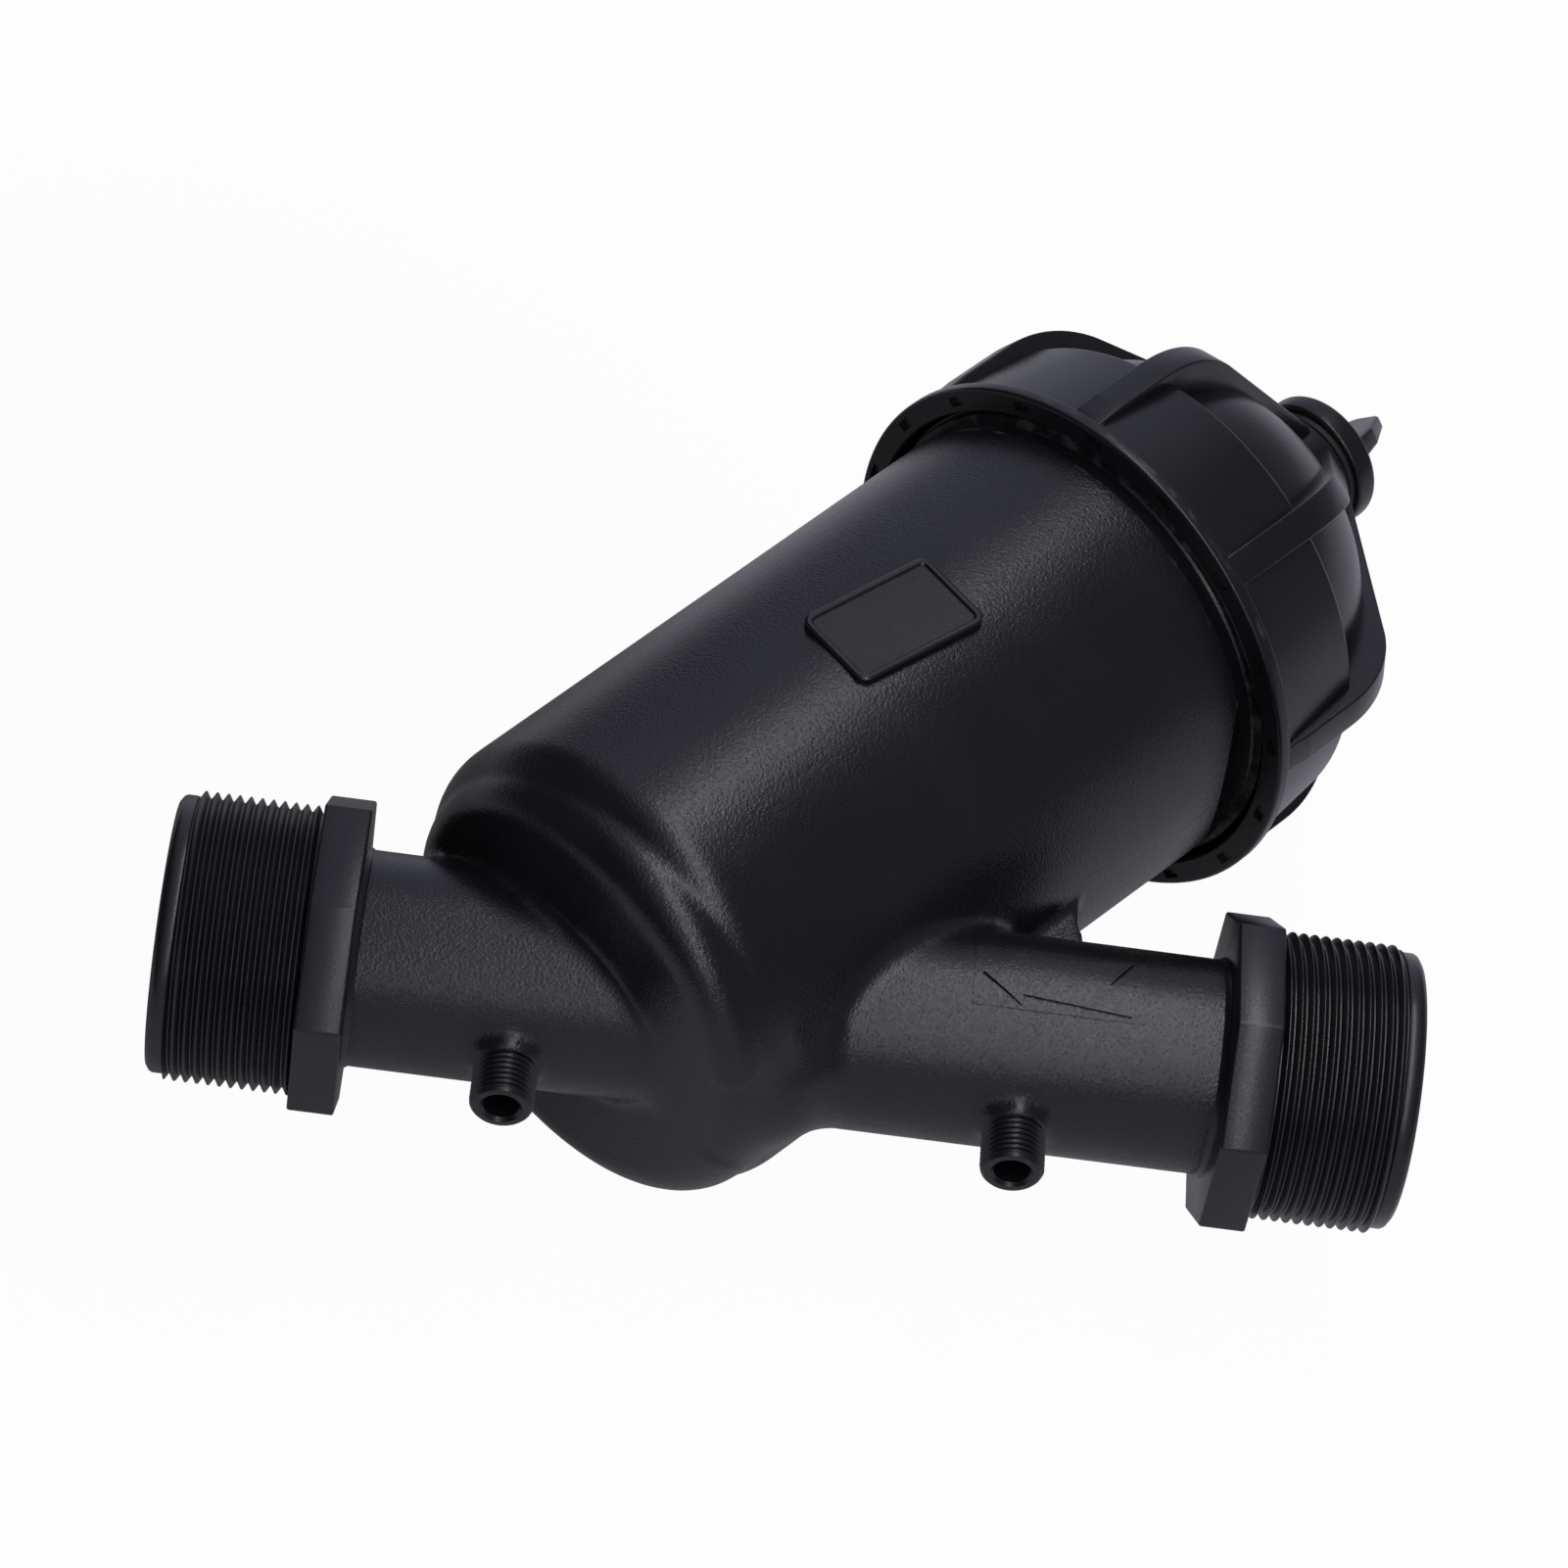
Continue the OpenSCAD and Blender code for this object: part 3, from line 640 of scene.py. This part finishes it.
turn_mid = (RIB_R - RIB_TURN_R, LIP_T - RIB_DROP)
rib_line = [(RIB_INNER_R, 152.6), (60.35, 152.6), (60.6, 156), (RIB_R, 160)]
rib_line += arc(turn_mid, RIB_TURN_R, 0, RIB_SLOPE, 20)
rise = (rib_line[-1][0] - HUB_R) / math.tan(math.radians(RIB_SLOPE))
rib_top = min(HUB_TOP - 1.6, rib_line[-1][1] + rise)
rib_line += [(HUB_R + 2.4, rib_top - 2.4), (HUB_R + 0.6, rib_top - 1.2), (HUB_R - 2, rib_top - 0.8)]
rib_line += list(reversed(ball_cap(DOME_R - 2.6, HUB_R - 2))) + [(RIB_INNER_R, TROUGH_T)]
foot_line = [(-6.2, 152.7)] + arc((-6.2, 155.6), FOOT_ROUND, -90, 0, 8)
foot_line += [(-x, t) for x, t in reversed(foot_line)]
pieces = []
for spot in CAP_SPOTS:
    rib = plate("rib", rib_line + rib_line[:1], RIB_W)
    bevel_rims(rib, 0.45)
    pieces.append(place(rib, spot))
    foot = plate("rib_foot", foot_line + foot_line[:1], FOOT_W)
    bevel_rims(foot, 0.3)
    pieces.append(place(foot, facing_out(spot, FOOT_OUT)))
ribs = joined("cap_ribs", pieces)
place(ribs, CAP)
tidy_shell(ribs)
smooth_faces(ribs, 35)
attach(ribs, "cap")
print("rib faces:", len(ribs.data.polygons))

# %% [markdown]
# ## The drain plug
# A small plug with a finger wing closes the hub. Its head is turned with rounded edges, and its wing is a
# plate that thins towards the tip, with bevelled edges so that it feels right to the fingers.

# %% Plug
HEAD_LOW, HEAD_TOP, HEAD_R = 232.08, 238, 15.7
WING_TOP, WING_W, WING_TAPER = 255, 5, 0.4
PLUG_TURN, PLUG_STEPS = math.radians(225), 128
plug_line = [(0, 221), (11.2, 221), (11.7, 221.8), (11.7, HEAD_LOW), (14.9, HEAD_LOW)]
plug_line += arc((HEAD_R - 0.9, HEAD_LOW + 0.9), 0.9, -90, 0, 4)
plug_line += arc((HEAD_R - 1.3, HEAD_TOP - 1.3), 1.3, 0, 90, 6)
plug_line += [(12.6, HEAD_TOP), (12.2, HEAD_TOP - 0.8), (0, HEAD_TOP - 0.8)]
plug = lathe("drain_plug_moulding", plug_line, PLUG_STEPS)
right_side = [(13.2, 236.5), (12.9, 239), (10.2, 246), (4.4, 254.2), (3, WING_TOP)]
left_side = [(-x, t) for x, t in right_side]
wing_line = left_side[:1] + right_side + left_side[::-1]
wing = plate("wing", wing_line, WING_W)
wing_spots = spots(wing)
risen = np.clip((wing_spots[:, 2] - HEAD_TOP) / (WING_TOP - HEAD_TOP), 0, 1)
wing_spots[:, 1] *= 1 - WING_TAPER * risen
wing.data.vertices.foreach_set("co", (wing_spots * MM).ravel())
edit(wing)
bpy.ops.mesh.bevel(offset=0.7 * MM, segments=3, affect="EDGES")
bpy.ops.object.mode_set(mode="OBJECT")
carve(plug, wing, "UNION")
place(plug, CHAMBER @ Matrix.Rotation(PLUG_TURN, 4, "Z"))
tidy_shell(plug)
smooth_faces(plug, 30)
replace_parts(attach(plug, "plug"), "drain_plug")
print("plug faces:", len(plug.data.polygons))

# %% [markdown]
# ## Blank plate and flow arrow
# The chamber carries a small raised plate for a marking, which stays bare here, and the inlet pipe an
# arrow that shows the way of the water. The plate lies flat on the tapered wall. The arrow and the low
# insert round it are cut into strips, which lets them follow the pipe.

# %% Blank plate
def rounded_box(width, height, r):
    """The closed outline of a box with rounded corners."""
    x, z = width / 2 - r, height / 2 - r
    line = []
    for cx, cz, start in ((x, z, 0), (-x, z, 90), (-x, -z, 180), (x, -z, 270)):
        line += arc((cx, cz), r, start, start + 90, 6)
    return line + line[:1]


PAD_LENGTH, PAD_WIDTH, PAD_ROUND, PAD_THICK = 33.2, 21.2, 2.8, 5
pad = plate("blank_plate", rounded_box(PAD_LENGTH, PAD_WIDTH, PAD_ROUND), PAD_THICK)
edit(pad)
bpy.ops.mesh.select_all(action="DESELECT")
bpy.ops.object.mode_set(mode="OBJECT")
for face in pad.data.polygons:
    face.select = face.normal.y < -0.9
bpy.ops.object.mode_set(mode="EDIT")
bpy.ops.mesh.select_mode(type="FACE")
bpy.ops.mesh.inset(thickness=0.5 * MM, depth=0.3 * MM)
bpy.ops.mesh.inset(thickness=0.8 * MM)
bpy.ops.mesh.inset(thickness=0.5 * MM, depth=-0.5 * MM)
bpy.ops.object.mode_set(mode="OBJECT")
PAD_AT = Vector(((11.9 - FLANGE_X) * MM, 63.9 * MM, 50.65 * MM))
PAD_TURN = math.radians(42)
across = Vector((-math.sin(BRANCH_ANGLE), math.cos(BRANCH_ANGLE), 0))
tilt = Matrix.Rotation(-math.atan(wall_slope), 4, across)
lying = Matrix.Rotation(PAD_TURN, 4, "Z") @ Matrix.Rotation(-QUARTER, 4, "X")
place(pad, Matrix.Translation(PAD_AT) @ tilt @ lying)
tidy_shell(pad)
smooth_faces(pad, 30)
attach(pad, "filter_body")
print("plate top at z =", round(max(spots(pad)[:, 2]), 2), "mm")

# %% Flow arrow
STRIP_REACH, STRIP_W, FOIL_W = 9.5, 0.5, 0.01
# How deep the underside sits in the pipe's wall
SUNK = 0.6


def laid_on_pipe(name, outline, rise, slope):
    """A flat outline of (x, y) points, cut into strips and wrapped on the pipe. Its top draws in."""
    piece = plate(name, [(x - FLANGE_X, y) for x, y in outline + outline[:1]], FOIL_W)
    for y in np.arange(-STRIP_REACH, STRIP_REACH + STRIP_W / 2, STRIP_W):
        edit(piece)
        bpy.ops.mesh.bisect(plane_co=(0, 0, y * MM), plane_no=(0, 0, 1))
        bpy.ops.object.mode_set(mode="OBJECT")
    co = spots(piece)
    top = co[:, 1] < 0
    middle = co[top].mean(axis=0)
    co[top] = middle + slope * (co[top] - middle)
    turn = np.arcsin(np.clip(co[:, 2] / PIPE_R, -1, 1))
    height = PIPE_R + np.where(top, rise, -SUNK)
    wrapped = np.stack([co[:, 0], height * np.sin(turn), height * np.cos(turn)], axis=1)
    piece.data.vertices.foreach_set("co", (wrapped * MM).ravel())
    tidy_shell(piece)
    smooth_faces(piece, 30)
    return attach(piece, "filter_body")


arrow_line = [(37.5, -1.4), (46, -7.85), (46, -5.6), (69, -7.5)]
arrow_line += [(64.1, -0.8), (69, 6.0), (46, 2.9), (46, 5.5)]
arrow = laid_on_pipe("flow_arrow", arrow_line, 0.85, 0.97)
insert_line = [(36, -8.4), (71.5, -8.4), (71.5, 6.9), (36, 6.9)]
insert = laid_on_pipe("arrow_insert", insert_line, 0.25, 0.99)
print("arrow faces:", len(arrow.data.polygons))

# %% [markdown]
# ## Shader sums
# Finishes are built from a few noises that are added and multiplied. A small class lets a socket take
# part in a Python sum, and one method makes every other node.

# %% Wires and finishes
class Wire:
    def __init__(self, finish, socket):
        self.finish, self.socket = finish, socket

    def sum(self, operation, other, swapped=False):
        values = (other, self) if swapped else (self, other)
        return self.finish.node("ShaderNodeMath", {"operation": operation}, {0: values[0], 1: values[1]})

    def __add__(self, other):
        return self.sum("ADD", other)

    def __sub__(self, other):
        return self.sum("SUBTRACT", other)

    def __rsub__(self, other):
        return self.sum("SUBTRACT", other, True)

    def __mul__(self, other):
        return self.sum("MULTIPLY", other)

    __radd__ = __add__
    __rmul__ = __mul__


class Sums:
    """The sums of one node tree."""

    def __init__(self, tree):
        self.tree = tree

    def node(self, kind, settings, values, output=0):
        made = self.tree.nodes.new(kind)
        for key, value in settings.items():
            setattr(made, key, value)
        for key, value in values.items():
            self.feed(made.inputs[key], value)
        return Wire(self, made.outputs[output])

    def feed(self, socket, value):
        if isinstance(value, Wire):
            self.tree.links.new(value.socket, socket)
        else:
            socket.default_value = value

    def place_of(self):
        return self.node("ShaderNodeTexCoord", {}, {}, "Object")

    def noise(self, scale, detail):
        values = {"Vector": self.place_of(), "Scale": scale, "Detail": detail}
        return self.node("ShaderNodeTexNoise", {}, values)

    def size_of(self, value):
        return self.node("ShaderNodeMath", {"operation": "ABSOLUTE"}, {0: value})

    def steps(self, value, low, high):
        """0 below low and 1 above high, with a soft change between."""
        return self.node("ShaderNodeMapRange", {"interpolation_type": "SMOOTHSTEP"},
                         {"Value": value, "From Min": low, "From Max": high})

    def mixed(self, share, a, b):
        return self.node("ShaderNodeMix", {"data_type": "RGBA"}, {0: share, 6: a, 7: b}, 2)

    def bump(self, height, distance, strength, under=None):
        values = {"Height": height, "Distance": distance, "Strength": strength}
        if under is not None:
            values["Normal"] = under
        return self.node("ShaderNodeBump", {}, values)


class Finish(Sums):
    """A material, with the sums that feed its shader."""

    def __init__(self, name):
        self.material = bpy.data.materials.new(name)
        self.material.use_nodes = True
        super().__init__(self.material.node_tree)
        self.shader = self.tree.nodes["Principled BSDF"]

    def dress(self, **values):
        for key, value in values.items():
            self.feed(self.shader.inputs[key.replace("_", " ")], value)

    def on(self, *pieces):
        for piece in pieces:
            piece.data.materials.clear()
            piece.data.materials.append(self.material)
            for face in piece.data.polygons:
                face.material_index = 0


print("shader sums ready")

# %% [markdown]
# ## Black plastic, grained and smooth
# The body left a spark-eroded mould, so its skin has a fine leathery grain that sparkles in the
# highlights. The cap, the threads and the plate came from polished steel and are smoother. Both carry a
# few dust specks and a lighter band along one edge, partly scuffs and partly a painted highlight, and the
# body shows the mould's parting line along its middle plane.

# %% Plastics
# The grey of the lighter edge band is partly scuffs and partly a painted highlight on the edge.
DUST_GREY, SCUFF_AND_SHEEN_GREY = (0.42, 0.42, 0.43, 1), (0.055, 0.055, 0.06, 1)
# Where the chamber's heights start along its axis, in metres
AXIS_START = CHAMBER.to_translation().dot(AXIS)


def black_plastic(name, colour, roughness, grain, dust_share, edge_t, parted):
    """Plastic with a depth of grain, a share of dust, a lighter edge band that is partly scuffs and partly a
    painted highlight, and, if parted, a mould line.
    """
    finish = Finish(name)
    patches = finish.noise(35, 3)
    fine = finish.noise(3600, 1)
    pebbles = finish.noise(1500, 1)
    cells = {"Vector": finish.place_of(), "Scale": 95.0}
    dust = finish.node("ShaderNodeTexVoronoi", {"feature": "F1"}, cells)
    lonely = finish.noise(60, 1)
    specks = (1 - finish.steps(dust, 0.018, 0.03)) * finish.steps(lonely, 1 - dust_share, 1.02 - dust_share)
    # A lighter band round one edge, at a height along the axis: partly scuffs, partly a painted highlight.
    along = finish.node("ShaderNodeVectorMath", {"operation": "DOT_PRODUCT"},
                        {0: finish.place_of(), 1: AXIS}, "Value")
    off_edge = finish.size_of(along - (AXIS_START + edge_t * MM))
    near_edge = 1 - finish.steps(off_edge, 0.0003, 0.0008)
    scuffs_and_sheen = near_edge * finish.steps(finish.noise(260, 6), 0.45, 0.75)
    lighter = tuple(1.35 * c for c in colour[:3]) + (1.0,)
    tone = finish.mixed(finish.steps(patches, 0.35, 0.7), colour, lighter)
    tone = finish.mixed(0.8 * scuffs_and_sheen, tone, SCUFF_AND_SHEEN_GREY)
    finish.dress(
        Base_Color=finish.mixed(specks, tone, DUST_GREY),
        Roughness=roughness + 0.08 * (patches - 0.5) + 1200 * grain * (pebbles - 0.5) + 0.3 * specks,
        Specular_IOR_Level=0.4,
    )
    skin = finish.bump(0.65 * pebbles + 0.35 * fine, grain, 1.0)
    if parted:
        z = finish.node("ShaderNodeSeparateXYZ", {}, {"Vector": finish.place_of()}, "Z")
        seam = 1 - finish.steps(finish.size_of(z), 0.00004, 0.00016)
        skin = finish.bump(seam, 0.00006, 0.6, skin)
    finish.dress(Normal=skin)
    return finish


GRAINED_BLACK, SMOOTH_BLACK = (0.0058, 0.0056, 0.0072, 1), (0.0054, 0.0052, 0.0068, 1)
# Heights of the lighter edge bands on the chamber's top and the cap's rim, partly scuffs and partly painted
# highlight.
BODY_EDGE, CAP_EDGE = CHAMBER_TOP - 0.6, RIM_T + 1.8
grained = black_plastic("grained black plastic", GRAINED_BLACK, 0.26, 0.00012, 0.32, BODY_EDGE, True)
smooth = black_plastic("smooth black plastic", SMOOTH_BLACK, 0.28, 0.000025, 0.34, CAP_EDGE, False)
grained.on(body, insert, arrow)
smooth.on(inlet_end, outlet_end, *nipples, neck, skirt, dome, ribs, plug, pad)
print("plastics:", grained.material.name, "and", smooth.material.name)

# %% [markdown]
# ## Inside pieces
# The discs, spine and seals are hidden behind the wall. They keep their CAD shapes and get plain finishes
# of the right kind, with a little variation so that a section or an exploded view doesn't look painted.

# %% Finishes of the inside
def inner_finish(name, colour, roughness, grain):
    finish = Finish(name)
    patches = finish.noise(60, 3)
    darker = tuple(0.75 * c for c in colour[:3]) + (1.0,)
    finish.dress(
        Base_Color=finish.mixed(finish.steps(patches, 0.3, 0.7), colour, darker),
        Roughness=roughness + 0.1 * (patches - 0.5),
        Normal=finish.bump(finish.noise(1300, 2), grain, 0.8),
    )
    return finish


seal_rubber = inner_finish("seal rubber", (0.014, 0.014, 0.014, 1), 0.6, 0.00004)
disc_red = inner_finish("disc red", (0.42, 0.022, 0.018, 1), 0.42, 0.00006)
spine_black = inner_finish("spine black", (0.018, 0.018, 0.02, 1), 0.45, 0.00003)
seal_rubber.on(nodes["cap_o_ring"], nodes["drain_seal"], nodes["seat_o_ring"])
spine_black.on(nodes["cartridge_spine"], nodes["pressure_plate"], nodes["clamp_nut"])
disc_red.on(*[node for name, node in nodes.items() if name.startswith("disc_pack")])
print("inside finishes on", len(nodes) - 3, "nodes")

# %% [markdown]
# ## Studio
# The photograph was taken in a white studio, with a ground that is cut to pure white. The floor lies just
# under the cap's rim. The camera sees the floor and the world white, with a faint shadow on the floor.
# The plastic mirrors something darker: a grey floor with a painted shade, a dark round patch under the
# object, and a grey backdrop that falls off to both sides. One long strip light hangs over the object from
# front to back.

# %% Floor
WHITE = (1, 1, 1, 1)
FLOOR_SIZE, FLOOR_GAP = 2.4, 0.0006
# A dark round patch painted on the floor under the object: painted shade, which the plastic mirrors.
PAINTED_SHADE_AT, PAINTED_SHADE_R, PAINTED_SHADE_END_R = (-0.16, 0.02, 0), 0.1, 0.22
PAINTED_SHADE_GREY, FLOOR_GREY = (0.1, 0.1, 0.12, 1), (0.6, 0.61, 0.7, 1)
deselect()
bpy.ops.mesh.primitive_plane_add(size=FLOOR_SIZE, location=(-0.1, 0.1, cad_low.z - FLOOR_GAP))
floor = bpy.context.object
floor.name = "floor"
ground = Finish("pale floor")
# The floor's colour turns to the painted shade near the patch under the object.
from_painted_shade = ground.node("ShaderNodeVectorMath", {"operation": "DISTANCE"},
                         {0: ground.place_of(), 1: PAINTED_SHADE_AT}, "Value")
floor_tone = ground.mixed(ground.steps(from_painted_shade, PAINTED_SHADE_R, PAINTED_SHADE_END_R), PAINTED_SHADE_GREY, FLOOR_GREY)
ground.dress(Base_Color=floor_tone, Roughness=0.8, Specular_IOR_Level=0.1)


def seen_by(finish, camera_share, gloss_share):
    """The share of a second shader for rays from the camera, and for rays from gloss and glass."""
    camera = finish.node("ShaderNodeLightPath", {}, {}, "Is Camera Ray")
    gloss = finish.node("ShaderNodeLightPath", {}, {}, "Is Glossy Ray")
    through = finish.node("ShaderNodeLightPath", {}, {}, "Is Transmission Ray")
    return camera_share * camera + gloss_share * (gloss + through)


white = ground.node("ShaderNodeEmission", {}, {"Color": WHITE, "Strength": 1.0})
diffuse = Wire(ground, ground.shader.outputs[0])
blended = ground.node("ShaderNodeMixShader", {}, {0: seen_by(ground, 0.97, 0.1), 1: diffuse, 2: white})
ground.feed(ground.tree.nodes["Material Output"].inputs["Surface"], blended)
ground.on(floor)
print("floor at z =", round(floor.location.z / MM, 2), "mm")

# %% World
FRONT_GREY, BACK_GREY = (0.48, 0.49, 0.63, 1), (0.5, 0.51, 0.67, 1)
RIGHT_GREY, LEFT_GREY = (0.18, 0.18, 0.22, 1), (0.02, 0.02, 0.03, 1)
FILL_WHITE, FILL_STRENGTH = (0.95, 0.96, 1, 1), 0.45
scene = bpy.context.scene
world = bpy.data.worlds.new("studio")
scene.world = world
world.use_nodes = True
sky = Sums(world.node_tree)
toward = sky.node("ShaderNodeTexCoord", {}, {}, "Generated")
rightward = sky.node("ShaderNodeSeparateXYZ", {}, {"Vector": toward}, "X")
backward = sky.node("ShaderNodeSeparateXYZ", {}, {"Vector": toward}, "Y")
backdrop_tone = sky.mixed(sky.steps(backward, -0.1, 0.6), FRONT_GREY, BACK_GREY)
backdrop_tone = sky.mixed(sky.steps(rightward, 0.1, 0.55), backdrop_tone, RIGHT_GREY)
backdrop_tone = sky.mixed(sky.steps(rightward, -0.15, -0.45), backdrop_tone, LEFT_GREY)
backdrop = sky.node("ShaderNodeBackground", {}, {"Color": backdrop_tone, "Strength": 1.0})
white_ground = sky.node("ShaderNodeBackground", {}, {"Color": WHITE, "Strength": 1.0})
fill = sky.node("ShaderNodeBackground", {}, {"Color": FILL_WHITE, "Strength": FILL_STRENGTH})
both = sky.node("ShaderNodeMixShader", {}, {0: seen_by(sky, 0, 1), 1: fill, 2: backdrop})
both = sky.node("ShaderNodeMixShader", {}, {0: seen_by(sky, 1, 0), 1: both, 2: white_ground})
sky.feed(world.node_tree.nodes["World Output"].inputs["Surface"], both)
print("world ready")

# %% Lamp
STRIP_AT, STRIP_WIDTH, STRIP_LENGTH, STRIP_WATTS = (0.08, -1.2, 1.0), 0.1, 3.9, 12.5
DOWN = Vector((0, 0, -1))
lamp = bpy.data.lights.new("strip_softbox", "AREA")
lamp.shape = "RECTANGLE"
lamp.size, lamp.size_y = STRIP_WIDTH, STRIP_LENGTH
lamp.energy = STRIP_WATTS
softbox = bpy.data.objects.new("strip_softbox", lamp)
scene.collection.objects.link(softbox)
softbox.location = STRIP_AT
softbox.rotation_euler = DOWN.to_track_quat("-Z", "Y").to_euler()

# %% [markdown]
# ## Camera
# The camera stands where the photograph was taken from: about 48 degrees above the pipe run, over a metre
# away, with a long lens. Its place and turn come from the octagons, threads and nipples in the picture.

# %% Camera
CAMERA_AT, CAMERA_TURN = (-0.153408, -0.734991, 0.896406), (41.25344, -6.73030, 3.98422)
FOCAL_LENGTH = 129.78
lens = bpy.data.cameras.new("camera")
lens.sensor_width = 36
lens.lens = FOCAL_LENGTH
camera = bpy.data.objects.new("camera", lens)
scene.collection.objects.link(camera)
camera.location = CAMERA_AT
camera.rotation_euler = [math.radians(a) for a in CAMERA_TURN]
scene.camera = camera
scene.view_settings.view_transform = "Standard"
print("camera height above the pipe run:", round(camera.location.z, 3), "m")
